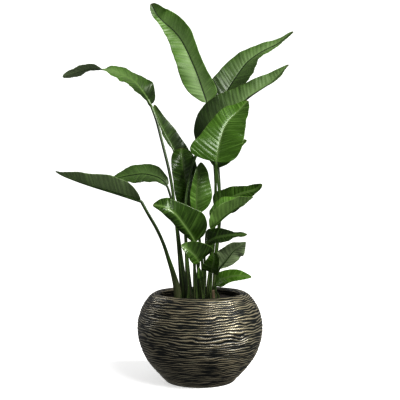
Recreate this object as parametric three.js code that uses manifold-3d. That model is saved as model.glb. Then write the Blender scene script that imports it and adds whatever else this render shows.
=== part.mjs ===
// A bird-of-paradise plant (Strelitzia nicolai) in a ball-shaped pot, in millimetres, +Z up.
// The origin is the centre of the pot's flat underside. +X is to the right and -Y is the plant's front.
// Each leaf is two solids: a stalk that stands in the soil, and a blade that starts just past the stalk's end.
import * as THREE from "three";
import { mergeVertices } from "three/addons/utils/BufferGeometryUtils.js";
import Module from "manifold-3d";

const wasm = await Module();
wasm.setup();

// ---------------------------------------------------------------- driving dimensions
const POT_RADIUS = 210; // at the belly
const POT_BELLY = 180; // height of the belly
const POT_FOOT = 116; // radius of the flat underside
const POT_CREST = 291; // top of the rounded lip
const MOUTH_RADIUS = 134;
const POT_WALL = 15;
const POT_FLOOR = 18; // thickness of the pot's bottom
const SOIL_LEVEL = 264;
const GAP = 0.4; // free space left between pieces that touch
const SIDES_OF_POT = 48;

const STALK_SIDES = 8;
const STALK_STEP = 60; // length of one stretch of a stalk
const NECK_LENGTH = 16; // straight stretch of a stalk just below its blade
const STALK_DEPTH = 24; // how far a stalk stands in the soil
const BLADE_STATIONS = 14; // stretches from base to tip
const BLADE_COLUMNS = 7; // points across a blade, margins and rib included
const BLADE_THICKNESS = 1.8;
const RIB_HEIGHT = 2.4; // how far the rib stands out of a blade's underside
const BLADE_START = 7; // half the width of a blade where it meets its stalk
const TIP_WIDTH = 1.6;

// ---------------------------------------------------------------- leaves, from the tallest down
// root: where the stalk meets the soil; via: points that the stalk passes; rib: the blade's middle line.
// face: the direction in which the upper side looks, from base to tip.
// left and right: widths of the two halves, from base to tip, seen from above with the tip pointing away.
// lift: how steeply each half rises from the rib, in degrees; curl: how much steeper it is at the margin.
// wave: height, count and phase of the margin's waves.
// girth: radius across the sheathing foot and at the neck; sheath: height over which the foot narrows.
const LEAVES = {
  top: {
    root: [32, 40],
    via: [[36, 50, 400], [54, 66, 560], [52, 98, 700], [37, 114, 850]],
    rib: [
      [23, 115, 946], [9, 117, 988], [-9, 123, 1042], [-38, 137, 1112],
      [-70, 150, 1176], [-106, 157, 1218], [-146, 155, 1252], [-175, 147, 1301],
    ],
    face: [[0.1, -1, 0.1], [0.05, -1, 0.25], [-0.3, -0.8, 0.5]],
    left: [26, 56, 62, 55, 42, 22, 14],
    right: [44, 48, 36, 44, 52, 46, 26],
    lift: [[8, 20, 20], [30, 32, 25]],
    curl: [[-15, -10, 10], [0, -5, 10]],
    wave: [4, 3, 0],
    girth: [10, 4.5],
    sheath: 150,
  },
  back_right: {
    root: [50, 26],
    via: [[56, 40, 400], [70, 66, 560], [64, 104, 720], [56, 128, 850]],
    rib: [
      [59, 140, 928], [88, 148, 975], [135, 158, 1049], [167, 162, 1092],
      [221, 162, 1132], [278, 155, 1159], [333, 140, 1199],
    ],
    face: [[-0.1, -0.95, 0.3], [-0.2, -0.85, 0.5], [-0.2, -0.8, 0.6]],
    left: [36, 68, 62, 50, 30, 20, 9],
    right: [34, 66, 68, 62, 32, 14, 8],
    lift: [[20, 22, 15], [25, 25, 20]],
    curl: [[0, -10, 0], [0, 0, 0]],
    wave: [4, 3, 1],
    girth: [9, 4.5],
    sheath: 150,
  },
  right: {
    root: [-36, -14],
    via: [[-46, -10, 440], [-49, 0, 583], [-30, 28, 700]],
    rib: [
      [-3, 56, 778], [50, 72, 849], [109, 76, 905], [162, 78, 951],
      [207, 80, 982], [252, 80, 1010], [308, 72, 1068],
    ],
    face: [[-0.45, -0.75, 0.45], [-0.45, -0.75, 0.45], [-0.4, -0.7, 0.6]],
    left: [28, 70, 88, 68, 46, 32, 13],
    right: [20, 44, 54, 50, 40, 26, 10],
    lift: [[20, 24, 25], [42, 44, 35]],
    curl: [[0, 0, 10], [0, 0, 0]],
    wave: [4, 2.5, 2],
    girth: [17, 5.5],
    sheath: 220,
  },
  front: {
    root: [24, -8],
    via: [[36, -8, 400], [46, -14, 540], [52, -42, 640]],
    rib: [
      [53, -80, 723], [60, -74, 763], [67, -66, 796], [80, -56, 836],
      [100, -44, 867], [131, -30, 898], [160, -20, 930],
    ],
    face: [[-0.05, -1, 0.05], [-0.1, -0.95, 0.35], [-0.2, -0.7, 0.6]],
    left: [74, 92, 68, 52, 42, 28, 12],
    right: [46, 68, 76, 72, 60, 42, 16],
    lift: [[12, 14, 20], [12, 18, 25]],
    curl: [[-5, -10, 0], [-10, -20, 0]],
    wave: [3, 3, 0.5],
    girth: [9, 4.5],
    sheath: 150,
  },
  behind_front: {
    root: [46, -6],
    via: [[50, -4, 400], [66, -4, 560], [62, -10, 650]],
    rib: [[54, -6, 710], [74, 6, 752], [108, 14, 782], [158, 18, 802]],
    face: [[-0.2, -0.8, 0.5], [-0.3, -0.7, 0.6]],
    left: [18, 34, 40, 36, 28, 18, 8],
    right: [18, 36, 44, 42, 32, 20, 9],
    lift: [[10, 15], [10, 10]],
    curl: [[0, 0], [-10, -20]],
    wave: [2, 2, 0],
    girth: [9, 4],
    sheath: 140,
  },
  left_arch: {
    root: [-54, 10],
    via: [[-66, 6, 380], [-76, 2, 480], [-86, 0, 580], [-99, 0, 674], [-119, 5, 761], [-143, 10, 853]],
    rib: [
      [-167, 15, 924], [-184, 16, 953], [-200, 16, 975], [-226, 16, 1002], [-268, 12, 1024],
      [-313, 0, 1037], [-362, -12, 1038], [-410, -22, 1024], [-455, -32, 1008],
    ],
    face: [
      [0.62, -0.55, 0.56], [0.52, -0.55, 0.68], [0.4, -0.55, 0.78], [0.25, -0.5, 0.85],
      [0, 0, 1], [-0.15, 0.3, 0.92], [-0.3, 0.5, 0.8],
    ],
    left: [18, 42, 54, 52, 40, 32, 14],
    right: [36, 64, 62, 48, 34, 30, 16],
    lift: [[15, 8, 8], [10, 8, 8]],
    curl: [[0, -10, 0], [0, -15, 0]],
    wave: [4, 4, 1],
    girth: [19, 5],
    sheath: 220,
  },
  left_low: {
    root: [-72, -20],
    via: [[-82, -24, 330], [-98, -34, 385], [-124, -46, 465], [-150, -52, 520], [-174, -56, 563]],
    rib: [
      [-195, -58, 600], [-232, -56, 611], [-280, -52, 625], [-345, -46, 643],
      [-410, -40, 663], [-460, -36, 682], [-478, -36, 694],
    ],
    face: [[0.1, 0.3, 0.9], [0.2, 0.35, 0.9], [0.3, 0.2, 0.9]],
    left: [26, 46, 54, 48, 38, 24, 10],
    right: [26, 46, 52, 48, 38, 24, 10],
    lift: [[40, 42, 40], [35, 35, 40]],
    curl: [[20, 10, 0], [20, 10, 0]],
    wave: [3, 3, 0],
    girth: [18, 5.5],
    sheath: 220,
  },
  left_small: {
    root: [-46, 34],
    via: [[-62, 38, 400], [-82, 30, 540], [-98, 24, 610]],
    rib: [
      [-112, 24, 650], [-134, 28, 672], [-158, 34, 682], [-192, 42, 689],
      [-226, 48, 686], [-268, 48, 678], [-306, 42, 668],
    ],
    face: [[0.2, -0.6, 0.75], [0.1, -0.65, 0.75], [-0.2, -0.6, 0.75]],
    left: [14, 28, 42, 42, 34, 22, 10],
    right: [16, 30, 44, 50, 40, 24, 10],
    lift: [[10, 0, 0], [15, 15, 5]],
    curl: [[0, -10, 0], [0, -10, 0]],
    wave: [2.5, 3, 0],
    girth: [13, 4],
    sheath: 150,
  },
  left_narrow: {
    root: [-12, 70],
    via: [[-24, 84, 420], [-38, 98, 560]],
    rib: [
      [-51, 100, 661], [-69, 104, 721], [-89, 102, 769], [-121, 98, 830],
      [-143, 94, 876], [-157, 90, 912], [-159, 86, 932],
    ],
    face: [[0.55, -0.75, 0.25], [0.6, -0.75, 0.25], [0.4, -0.8, 0.2]],
    left: [18, 34, 42, 38, 30, 20, 10],
    right: [22, 42, 48, 44, 34, 22, 11],
    lift: [[38, 38, 30], [38, 36, 30]],
    curl: [[0, 0, 0], [0, -10, 0]],
    wave: [3, 3, 0],
    girth: [11, 4.5],
    sheath: 150,
  },
  centre_dark: {
    root: [0, 50],
    via: [[-8, 52, 380], [-24, 48, 480]],
    rib: [[-36, 46, 570], [-47, 46, 640], [-56, 47, 706], [-62, 52, 750], [-64, 64, 780]],
    face: [[0, -1, 0], [0.05, -0.95, 0.2], [0, -0.8, 0.6]],
    left: [24, 40, 46, 44, 42, 36, 22],
    right: [24, 42, 48, 48, 46, 38, 22],
    lift: [[20, 20, 10], [20, 20, 10]],
    curl: [[0, 0, -20], [0, 0, -20]],
    wave: [2, 2, 0],
    girth: [11, 4.5],
    sheath: 140,
  },
  centre_glossy: {
    root: [12, 22],
    via: [[8, 26, 380], [-2, 22, 470]],
    rib: [[-11, 20, 556], [-12, 18, 617], [-6, 20, 674], [4, 34, 728]],
    face: [[0.1, -1, 0.05], [0.25, -0.95, 0.15], [0.3, -0.7, 0.6]],
    left: [14, 26, 30, 28, 22, 15, 7],
    right: [24, 44, 54, 52, 40, 28, 12],
    lift: [[30, 35, 20], [12, 10, 10]],
    curl: [[0, 0, 0], [-20, -25, -10]],
    wave: [2, 2, 1],
    girth: [11, 4.5],
    sheath: 140,
  },
  front_left: {
    root: [-14, -42],
    via: [[-18, -50, 350], [-16, -58, 420]],
    rib: [
      [-15, -66, 463], [-24, -74, 480], [-53, -98, 523],
      [-81, -116, 558], [-113, -124, 578], [-150, -118, 584],
    ],
    face: [[0.15, -0.95, 0.2], [0.2, -0.85, 0.4], [0, -0.6, 0.8]],
    left: [10, 17, 24, 28, 26, 20, 9],
    right: [36, 62, 71, 55, 36, 31, 15],
    lift: [[10, 0, 0], [20, 15, 20]],
    curl: [[-40, -60, -40], [0, 5, 10]],
    wave: [3, 2.5, 0],
    girth: [12, 5],
    sheath: 120,
  },
  right_back: {
    root: [34, 14],
    via: [[42, 26, 400], [50, 26, 500]],
    rib: [
      [56, 26, 570], [83, 30, 590], [118, 36, 612], [152, 42, 625], [191, 48, 636], [213, 50, 654],
    ],
    face: [[-0.3, -0.8, 0.5], [-0.3, -0.8, 0.5], [-0.3, -0.6, 0.7]],
    left: [30, 54, 52, 40, 30, 27, 13],
    right: [22, 44, 52, 46, 30, 16, 8],
    lift: [[5, 5, 5], [5, 5, 5]],
    curl: [[-10, -10, 0], [-20, -20, 0]],
    wave: [3, 2.5, 0],
    girth: [9, 4],
    sheath: 120,
  },
  right_folded: {
    root: [30, -34],
    via: [[36, -46, 360], [36, -56, 440]],
    rib: [
      [34, -58, 508], [54, -60, 523], [80, -60, 546], [126, -56, 577], [156, -52, 595], [176, -48, 610],
    ],
    face: [[-0.5, -0.05, 0.85], [-0.5, -0.05, 0.85], [-0.4, -0.05, 0.9]],
    left: [22, 46, 58, 60, 50, 30, 10],
    right: [28, 46, 48, 46, 40, 26, 10],
    lift: [[60, 60, 40], [52, 52, 40]],
    curl: [[0, 0, 0], [10, 10, 0]],
    wave: [2.5, 2.5, 0],
    girth: [9, 4],
    sheath: 120,
  },
  lower_front: {
    root: [12, -58],
    via: [[17, -58, 340], [17, -62, 400]],
    rib: [[16, -76, 456], [48, -92, 476], [88, -106, 485], [120, -114, 488], [150, -118, 490]],
    face: [[-0.1, -0.6, 0.75], [-0.05, -0.6, 0.8], [-0.1, -0.5, 0.85]],
    left: [26, 44, 42, 26, 16, 12, 6],
    right: [12, 22, 28, 30, 26, 18, 8],
    lift: [[15, 15, 10], [10, 10, 10]],
    curl: [[10, 0, 0], [0, -10, 0]],
    wave: [3, 2.5, 0],
    girth: [9, 4],
    sheath: 100,
  },
  lower_left: {
    root: [-10, -68],
    via: [[-12, -76, 330], [-6, -82, 370]],
    rib: [[-2, -100, 400], [-14, -112, 420], [-34, -126, 440], [-60, -138, 457]],
    face: [[-0.1, -0.75, 0.55], [-0.3, -0.75, 0.5], [-0.2, -0.7, 0.6]],
    left: [14, 22, 24, 22, 18, 12, 6],
    right: [34, 58, 58, 46, 32, 18, 8],
    lift: [[10, 10, 10], [15, 15, 10]],
    curl: [[0, 0, 0], [10, 20, 10]],
    wave: [2, 2, 0],
    girth: [7, 3.5],
    sheath: 90,
  },
  lower_right: {
    root: [50, -38],
    via: [[52, -32, 320], [56, -32, 348]],
    rib: [[64, -36, 375], [87, -42, 402], [110, -50, 432], [133, -54, 449], [150, -54, 462]],
    face: [[-0.3, 0.8, 0.4], [-0.3, 0.75, 0.5], [-0.2, 0.6, 0.7]],
    left: [12, 28, 42, 54, 54, 40, 16],
    right: [24, 44, 46, 40, 30, 18, 7],
    lift: [[10, 10, 10], [10, 10, 10]],
    curl: [[0, 0, 0], [0, 0, 0]],
    wave: [2, 2.5, 0],
    girth: [8, 3.5],
    sheath: 90,
  },
  young_cup: {
    root: [28, -68],
    via: [[32, -82, 320]],
    rib: [[38, -86, 366], [42, -98, 388], [46, -104, 410], [44, -100, 430]],
    face: [[-0.2, -0.9, 0.3], [-0.2, -0.9, 0.2], [-0.2, -0.9, 0]],
    left: [20, 36, 40, 38, 34, 24, 10],
    right: [18, 32, 36, 34, 28, 20, 9],
    lift: [[30, 35, 40], [20, 25, 30]],
    curl: [[20, 30, 30], [20, 30, 30]],
    wave: [1, 2, 0],
    girth: [7, 3.5],
    sheath: 70,
  },
  young_spear: {
    root: [10, -90],
    via: [[5, -96, 310]],
    rib: [[2, -106, 344], [0, -113, 364], [-4, -114, 386]],
    face: [[0, -1, 0.2], [0, -1, 0]],
    left: [6, 9, 11, 10, 8, 5, 3],
    right: [6, 9, 11, 10, 8, 5, 3],
    lift: [[35, 35], [35, 35]],
    curl: [[0, 0], [0, 0]],
    wave: [0, 1, 0],
    girth: [5, 2.5],
    sheath: 50,
  },
  rim: {
    root: [62, -56],
    via: [[56, -70, 300]],
    rib: [[52, -80, 326], [84, -90, 348], [123, -98, 356], [165, -104, 352]],
    face: [[-0.1, -0.7, 0.7], [-0.05, -0.65, 0.75], [0.1, -0.65, 0.75]],
    left: [16, 29, 30, 28, 22, 14, 7],
    right: [13, 25, 28, 26, 20, 13, 6],
    lift: [[10, 10, 5], [10, 10, 5]],
    curl: [[0, 0, 0], [-10, -10, 0]],
    wave: [1, 2, 0],
    girth: [6, 3],
    sheath: 50,
  },
};

// Stalks without a blade: a young shoot that is still rolled up, and the dry foot of an old leaf.
const BARE_STALKS = {
  young_shoot: { root: [-42, -44], via: [], tip: [-38, -50, 318], girth: [6, 1.5], sheath: 55 },
  old_sheath: { root: [44, -92], via: [], tip: [42, -98, 310], girth: [9, 5], sheath: 60 },
};

// ---------------------------------------------------------------- finishes
const BLADE_FINISH = { color: 0x2f5a1c, roughness: 0.32, metalness: 0 };
const STALK_FINISH = { color: 0x4d7a2c, roughness: 0.4, metalness: 0 };
const POT_FINISH = { color: 0x4a4538, roughness: 0.35, metalness: 0.5 };
const SOIL_FINISH = { color: 0x1c150f, roughness: 0.95, metalness: 0 };

// ---------------------------------------------------------------- shared helpers
const point = ([x, y, z]) => new THREE.Vector3(x, y, z);
const radians = THREE.MathUtils.degToRad;

function catmullRom(t, a, b, c, d) {
  const slope0 = (c - a) / 2;
  const slope1 = (d - b) / 2;
  return b + t * (slope0 + t * (3 * (c - b) - 2 * slope0 - slope1 + t * (2 * (b - c) + slope0 + slope1)));
}

// A smooth value between the listed ones, which are evenly spaced from s = 0 to s = 1.
function along(values, s) {
  const last = values.length - 1;
  const i = Math.min(Math.floor(s * last), last - 1);
  const at = (k) => values[Math.max(0, Math.min(last, k))];
  return catmullRom(s * last - i, at(i - 1), at(i), at(i + 1), at(i + 2));
}

function directionAlong(vectors, s) {
  const [x, y, z] = [0, 1, 2].map((k) => along(vectors.map((v) => v[k]), s));
  return new THREE.Vector3(x, y, z);
}

// A closed skin over rings with the same number of points, drawn to one point at either end.
// Sides from the one numbered under on are split along their other diagonal, so that the two faces of a
// sheet crease alike and never cross.
function skin(rings, under = Infinity) {
  const sides = rings[0].length;
  const middle = (ring) => ring.reduce((sum, p) => sum.add(p), new THREE.Vector3()).divideScalar(sides);
  const points = [...rings.flat(), middle(rings[0]), middle(rings[rings.length - 1])];
  const faces = [];
  for (let k = 0; k < sides; k++) {
    const next = (k + 1) % sides;
    faces.push(points.length - 2, next, k);
    for (let i = 0; i + 1 < rings.length; i++) {
      const low = i * sides;
      const high = low + sides;
      if (k < under) faces.push(low + k, low + next, high + next, low + k, high + next, high + k);
      else faces.push(low + k, low + next, high + k, low + next, high + next, high + k);
    }
    const end = (rings.length - 1) * sides;
    faces.push(points.length - 1, end + k, end + next);
  }
  return new THREE.BufferGeometry().setFromPoints(points).setIndex(faces);
}

function asSolid(geometry) {
  const bare = geometry.index ? geometry.clone() : mergeVertices(geometry);
  bare.deleteAttribute("normal");
  bare.deleteAttribute("uv");
  const merged = mergeVertices(bare, 1e-3);
  return new wasm.Manifold(
    new wasm.Mesh({
      numProp: 3,
      vertProperties: merged.attributes.position.array,
      triVerts: new Uint32Array(merged.index.array),
    }),
  );
}

function asGeometry(solid) {
  const mesh = solid.getMesh();
  return new THREE.BufferGeometry()
    .setAttribute("position", new THREE.BufferAttribute(mesh.vertProperties, 3))
    .setIndex(new THREE.BufferAttribute(mesh.triVerts, 1));
}

// A turned solid about +Z, from a profile of [radius, height] points that starts and ends on the axis.
function turned(profile) {
  const outline = profile.map(([r, z]) => new THREE.Vector2(r, z));
  return new THREE.LatheGeometry(outline, SIDES_OF_POT).rotateX(Math.PI / 2);
}

// Points on a smooth curve through [radius, height] points.
function curved(points, steps) {
  const curve = new THREE.SplineCurve(points.map(([r, z]) => new THREE.Vector2(r, z)));
  return curve.getSpacedPoints(steps).map((p) => [p.x, p.y]);
}

// ---------------------------------------------------------------- pot and soil
const outerWall = curved(
  [
    [POT_FOOT, 0],
    [146, 31],
    [171, 61],
    [190, 92],
    [205, 134],
    [POT_RADIUS, POT_BELLY],
    [205, 214],
    [193, 246],
    [177, 271],
    [165, 283],
    [151, POT_CREST],
  ],
  18,
);
const innerWall = curved(
  [
    [151, POT_CREST],
    [138, POT_CREST - 1],
    [MOUTH_RADIUS, POT_CREST - 8],
    [MOUTH_RADIUS + 4, POT_CREST - 20],
    [157, 250],
    [182, 220],
    [POT_RADIUS - POT_WALL, POT_BELLY - 4],
    [188, 125],
    [166, 82],
    [138, 44],
    [100, POT_FLOOR],
  ],
  18,
);

function potGeometry() {
  return turned([[0, 0], ...outerWall, ...innerWall.slice(1), [0, POT_FLOOR]]);
}

// The soil fills the pot up to its level, a gap inside the inner wall, with a socket for each stalk.
function soilGeometry(stalks) {
  const wall = innerWall.filter(([, z]) => z < SOIL_LEVEL - 6).map(([r, z]) => [r - GAP, z + GAP]);
  const edge = [wall[0][0] - 10, SOIL_LEVEL];
  let soil = asSolid(turned([[0, POT_FLOOR + GAP], ...wall.reverse(), edge, [0, SOIL_LEVEL + 3]]));
  for (const stalk of stalks) soil = soil.subtract(asSolid(stalkGeometry(stalk, GAP)));
  return asGeometry(soil);
}

// ---------------------------------------------------------------- leaves
// The last two points of a stalk: it comes in along its blade's rib and stops a gap short of it.
function belowBlade([start, ahead]) {
  return [NECK_LENGTH, GAP].map((gap) => point(start).sub(point(ahead)).setLength(gap).add(point(start)));
}

function stalkCurve(leaf) {
  const [x, y] = leaf.root;
  const top = leaf.tip ? [point(leaf.tip)] : belowBlade(leaf.rib);
  return new THREE.CatmullRomCurve3([
    new THREE.Vector3(x, y, SOIL_LEVEL - STALK_DEPTH),
    new THREE.Vector3(x, y, SOIL_LEVEL + 8),
    ...leaf.via.map(point),
    ...top,
  ]);
}

// A stalk is a tapered stem, widest across +X where its foot sheathes the crown.
function stalkGeometry(leaf, grow = 0) {
  const curve = stalkCurve(leaf);
  const steps = Math.max(4, Math.round(curve.getLength() / STALK_STEP));
  const [foot, neck] = leaf.girth;
  const across = new THREE.Vector3(1, 0, 0);
  const rings = [];
  for (let i = 0; i <= steps; i++) {
    const centre = curve.getPointAt(i / steps);
    const ahead = curve.getTangentAt(i / steps);
    const wide = across.clone().addScaledVector(ahead, -across.dot(ahead)).normalize();
    const deep = new THREE.Vector3().crossVectors(ahead, wide);
    const rise = Math.max(0, 1 - (centre.z - SOIL_LEVEL) / leaf.sheath);
    const radius = neck + (foot - neck) * Math.min(1, rise * rise) + grow;
    const flat = THREE.MathUtils.lerp(0.92, 0.66, Math.min(1, rise));
    const ring = [];
    for (let k = 0; k < STALK_SIDES; k++) {
      const turn = (2 * Math.PI * (k + 0.5)) / STALK_SIDES;
      ring.push(
        centre
          .clone()
          .addScaledVector(wide, radius * Math.cos(turn))
          .addScaledVector(deep, radius * flat * Math.sin(turn)),
      );
    }
    rings.push(ring);
  }
  return skin(rings);
}

// One half of a blade's cross-section, from the rib outwards: offsets along the side and upper directions.
function halfSection(width, lift, curl, ripple) {
  const count = (BLADE_COLUMNS - 1) / 2;
  const pieces = 4;
  const offsets = [];
  let side = 0;
  let up = 0;
  for (let k = 1; k <= count; k++) {
    for (let j = 0; j < pieces; j++) {
      const t = (k - 1 + (j + 0.5) / pieces) / count;
      const slope = radians(lift + curl * t);
      side += (Math.cos(slope) * width) / (count * pieces);
      up += (Math.sin(slope) * width) / (count * pieces);
    }
    offsets.push([side, up + ripple * (k / count) ** 2]);
  }
  return offsets;
}

function bladeGeometry(leaf) {
  const curve = new THREE.CatmullRomCurve3(leaf.rib.map(point));
  const widths = [leaf.left, leaf.right].map((half) => [BLADE_START, ...half, TIP_WIDTH]);
  const [height, count, phase] = leaf.wave;
  const rings = [];
  for (let i = 0; i <= BLADE_STATIONS; i++) {
    const step = i / BLADE_STATIONS;
    const s = (1 - Math.cos(Math.PI * step)) / 2; // stations are closer together near the base and the tip
    const centre = curve.getPointAt(s);
    const ahead = curve.getTangentAt(s);
    const face = directionAlong(leaf.face, s);
    const upper = face.addScaledVector(ahead, -face.dot(ahead)).normalize();
    const across = new THREE.Vector3().crossVectors(ahead, upper);
    const place = (side, up) => centre.clone().addScaledVector(across, side).addScaledVector(upper, up);
    const halves = [-1, 1].map((sign, h) => {
      const width = along(widths[h], step);
      const ripple = height * Math.sin(Math.PI * step) * Math.sin(2 * Math.PI * count * s + phase + 2 * h);
      const unfolded = Math.min(1, 0.15 + 3 * step); // a blade is nearly flat where it meets its stalk
      const lift = along(leaf.lift[h], s) * unfolded;
      const curl = along(leaf.curl[h], s) * unfolded;
      return halfSection(width, lift, curl, ripple).map(([side, up]) => [side * sign, up]);
    });
    const half = BLADE_THICKNESS / 2;
    const ridge = half + RIB_HEIGHT * (1 - 0.7 * s);
    const left = halves[0].slice(0, -1);
    const right = halves[1].slice(0, -1);
    const above = ([x, u]) => place(x, u + half);
    const below = ([x, u]) => place(x, u - half);
    rings.push([
      place(...halves[0].at(-1)),
      ...left.map(above).reverse(),
      place(0, half),
      ...right.map(above),
      place(...halves[1].at(-1)),
      ...right.map(below).reverse(),
      place(0, -ridge),
      ...left.map(below),
    ]);
  }
  return skin(rings, BLADE_COLUMNS - 1);
}

// ---------------------------------------------------------------- the object
const plant = new THREE.Group();

function add(name, geometry, finish) {
  const mesh = new THREE.Mesh(geometry, new THREE.MeshStandardMaterial(finish));
  mesh.name = name;
  plant.add(mesh);
}

add("pot", potGeometry(), POT_FINISH);
add("soil", soilGeometry([...Object.values(LEAVES), ...Object.values(BARE_STALKS)]), SOIL_FINISH);
for (const [name, stalk] of Object.entries(BARE_STALKS)) add(name, stalkGeometry(stalk), STALK_FINISH);
for (const [name, leaf] of Object.entries(LEAVES)) {
  add(`leaf_${name}_stalk`, stalkGeometry(leaf), STALK_FINISH);
  add(`leaf_${name}_blade`, bladeGeometry(leaf), BLADE_FINISH);
}

export default plant;
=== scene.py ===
"""Looks of a potted bird of paradise plant: leaves, pot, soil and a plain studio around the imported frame."""

import math

import bpy
import numpy as np
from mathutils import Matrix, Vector, noise


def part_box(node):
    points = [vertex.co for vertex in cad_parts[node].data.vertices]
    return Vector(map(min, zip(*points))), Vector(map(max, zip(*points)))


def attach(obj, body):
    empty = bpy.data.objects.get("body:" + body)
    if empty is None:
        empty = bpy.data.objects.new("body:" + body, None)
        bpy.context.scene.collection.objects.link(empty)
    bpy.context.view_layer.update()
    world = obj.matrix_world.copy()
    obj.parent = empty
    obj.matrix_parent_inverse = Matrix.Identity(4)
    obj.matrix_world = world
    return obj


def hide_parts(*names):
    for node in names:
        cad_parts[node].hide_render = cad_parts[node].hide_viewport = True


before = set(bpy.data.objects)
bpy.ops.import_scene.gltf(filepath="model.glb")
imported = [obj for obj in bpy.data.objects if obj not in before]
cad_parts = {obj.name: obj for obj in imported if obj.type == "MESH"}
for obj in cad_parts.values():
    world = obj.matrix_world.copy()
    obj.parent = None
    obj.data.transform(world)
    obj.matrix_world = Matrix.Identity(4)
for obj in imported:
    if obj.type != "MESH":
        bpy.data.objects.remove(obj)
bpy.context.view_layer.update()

bl_info = {
    "name": "Potted bird of paradise",
    "version": (1, 0, 0),
    "blender": (4, 5, 0),
    "location": "3D View > Sidebar > Plant",
    "description": "Builds the leaves, pot and soil of a potted bird of paradise plant",
    "category": "Add Mesh",
}

MM = 0.001

STALK_SIDES = 8  # points round a stalk in the frame
BLADE_POINTS = 12  # points round a blade's section in the frame
MARGIN = 0  # place of the left margin among them
OTHER_MARGIN = 6

LEAF_NAMES = sorted(n[5:-6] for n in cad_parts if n.startswith("leaf_") and n.endswith("_blade"))

# Per leaf: tone at its base and tip (0 deep green, 1 fresh green), which also paints shade on leaves deep in the plant
# and light on unlit tips; waxy bloom at its base and tip, partly a painted sheen;
# paleness of its rib, where 0 paints a shadow in the rib's channel; and how much its margins wave.
LEAF_LOOKS = {
    "top": ((0.95, 1.00), (1.00, 0.50), 0.0, 1.0),
    "back_right": ((0.05, 0.90), (0.10, 1.20), 0.0, 1.0),
    "right": ((-0.15, 0.75), (0.00, 1.10), 0.3, 1.0),
    "front": ((0.72, 0.85), (0.00, 0.05), 0.7, 1.0),
    "behind_front": ((0.30, 0.45), (0.00, 0.00), 0.3, 0.8),
    "left_arch": ((0.05, 1.30), (0.00, 1.20), 0.6, 1.1),
    "left_low": ((0.35, 0.35), (0.50, 0.50), 0.3, 0.8),
    "left_small": ((0.25, 0.45), (0.60, 0.35), 0.0, 0.8),
    "left_narrow": ((0.00, 0.15), (0.00, 0.30), 0.5, 0.8),
    "centre_dark": ((0.30, 0.40), (0.00, 0.00), 0.6, 0.6),
    "centre_glossy": ((0.85, 0.80), (0.20, 0.20), 0.6, 0.6),
    "front_left": ((0.30, 0.30), (0.00, 0.00), 0.8, 0.9),
    "right_back": ((0.15, 0.25), (0.00, 0.00), 0.4, 0.9),
    "right_folded": ((1.20, 1.50), (0.10, 0.20), 0.6, 0.8),
    "lower_front": ((0.00, 0.05), (0.00, 0.00), 0.3, 1.5),
    "lower_left": ((0.30, 0.35), (0.00, 0.10), 0.6, 0.8),
    "lower_right": ((0.50, 0.60), (1.20, 0.90), 0.8, 1.2),
    "young_cup": ((0.25, 0.35), (0.00, 0.00), 0.5, 0.5),
    "young_spear": ((0.40, 0.50), (0.00, 0.00), 0.5, 0.3),
    "rim": ((0.65, 0.75), (0.00, 0.00), 0.5, 0.5),
}


# Places of the colour sockets on a Mix node.
MIX_FACTOR, MIX_A, MIX_B = 0, 6, 7
MIX_RESULT = 2


# ---------------------------------------------------------------- shader expressions
class Socket:
    """A value or colour in a material's node tree, for use in expressions."""

    def __init__(self, shader, link):
        self.shader = shader
        self.link = link

    def _math(self, operation, *values):
        return self.shader.node("ShaderNodeMath", {"operation": operation}, dict(enumerate(values)))

    def __add__(self, other):
        return self._math("ADD", self, other)

    def __radd__(self, other):
        return self._math("ADD", other, self)

    def __sub__(self, other):
        return self._math("SUBTRACT", self, other)

    def __rsub__(self, other):
        return self._math("SUBTRACT", other, self)

    def __mul__(self, other):
        return self._math("MULTIPLY", self, other)

    def __rmul__(self, other):
        return self._math("MULTIPLY", other, self)

    def __abs__(self):
        return self._math("ABSOLUTE", self)

    def clamped(self):
        return self.shader.node("ShaderNodeClamp", {}, {"Value": self})


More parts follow.
